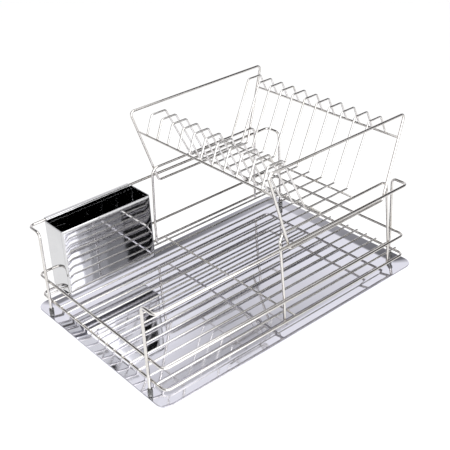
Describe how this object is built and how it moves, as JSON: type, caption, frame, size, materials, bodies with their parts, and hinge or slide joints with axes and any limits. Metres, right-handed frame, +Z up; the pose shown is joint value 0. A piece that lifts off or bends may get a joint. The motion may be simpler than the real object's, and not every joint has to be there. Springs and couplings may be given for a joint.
{
  "type": "two-tier dish rack",
  "caption": "Polished wire dish rack: a lower rack on a drip tray, a lift-off plate basket with V-shaped dividers, and a sheet cutlery box hung on the back rail",
  "frame": {"origin": "on the table, under the middle of the drip tray", "axes": "X along the rack's long side, to the end that carries the plate basket; Y from its front to its back, where the cutlery box hangs; Z up"},
  "size_m": [0.504, 0.329, 0.2706],
  "materials": {
    "polished_frame_wire": "bright plated steel wire, polished",
    "polished_thin_wire": "bright plated thin steel wire, polished",
    "mirror_tray_steel": "mirror-polished pressed steel sheet",
    "mirror_box_steel": "mirror-polished folded steel sheet",
    "clear_cap_pvc": "clear, slightly smoky soft PVC caps"
  },
  "bodies": {
    "drip_tray": {"drip_tray": "mirror_tray_steel"},
    "lower_rack": {"front_side_frame": "polished_frame_wire", "back_side_frame": "polished_frame_wire", "front_left_foot": "clear_cap_pvc", "front_right_foot": "clear_cap_pvc", "back_left_foot": "clear_cap_pvc", "back_right_foot": "clear_cap_pvc", "lower_ring": "polished_frame_wire", "middle_ring": "polished_frame_wire", "base_long_wire_01": "polished_thin_wire", "base_long_wire_02": "polished_thin_wire", "base_long_wire_03": "polished_thin_wire", "base_long_wire_04": "polished_thin_wire", "base_long_wire_05": "polished_thin_wire", "base_long_wire_06": "polished_thin_wire", "base_long_wire_07": "polished_thin_wire", "base_long_wire_08": "polished_thin_wire", "base_long_wire_09": "polished_thin_wire", "base_long_wire_10": "polished_thin_wire", "base_long_wire_11": "polished_thin_wire", "base_long_wire_12": "polished_thin_wire", "base_long_wire_13": "polished_thin_wire", "base_long_wire_14": "polished_thin_wire", "base_long_wire_15": "polished_thin_wire", "base_centre_wire": "polished_thin_wire", "front_support_frame": "polished_frame_wire", "back_support_frame": "polished_frame_wire"},
    "plate_basket": {"front_wing": "polished_frame_wire", "back_wing": "polished_frame_wire", "left_cross_rail": "polished_frame_wire", "right_cross_rail": "polished_frame_wire", "left_basket_base_wire": "polished_thin_wire", "right_basket_base_wire": "polished_thin_wire", "plate_divider_01": "polished_thin_wire", "plate_divider_02": "polished_thin_wire", "plate_divider_03": "polished_thin_wire", "plate_divider_04": "polished_thin_wire", "plate_divider_05": "polished_thin_wire", "plate_divider_06": "polished_thin_wire", "plate_divider_07": "polished_thin_wire", "plate_divider_08": "polished_thin_wire", "plate_divider_09": "polished_thin_wire", "plate_divider_10": "polished_thin_wire", "plate_divider_11": "polished_thin_wire"},
    "cutlery_box": {"cutlery_box": "mirror_box_steel"}
  },
  "joints": [
    {"name": "rack_lift", "type": "slide", "parent": "drip_tray", "child": "lower_rack", "axis": [0, 0, 1], "range_m": [0, 0.1]},
    {"name": "plate_basket_lift", "type": "slide", "parent": "lower_rack", "child": "plate_basket", "axis": [0, 0, 1], "range_m": [0, 0.15]},
    {"name": "cutlery_box_lift", "type": "slide", "parent": "lower_rack", "child": "cutlery_box", "axis": [0, 0, 1], "range_m": [0, 0.13]}
  ]
}
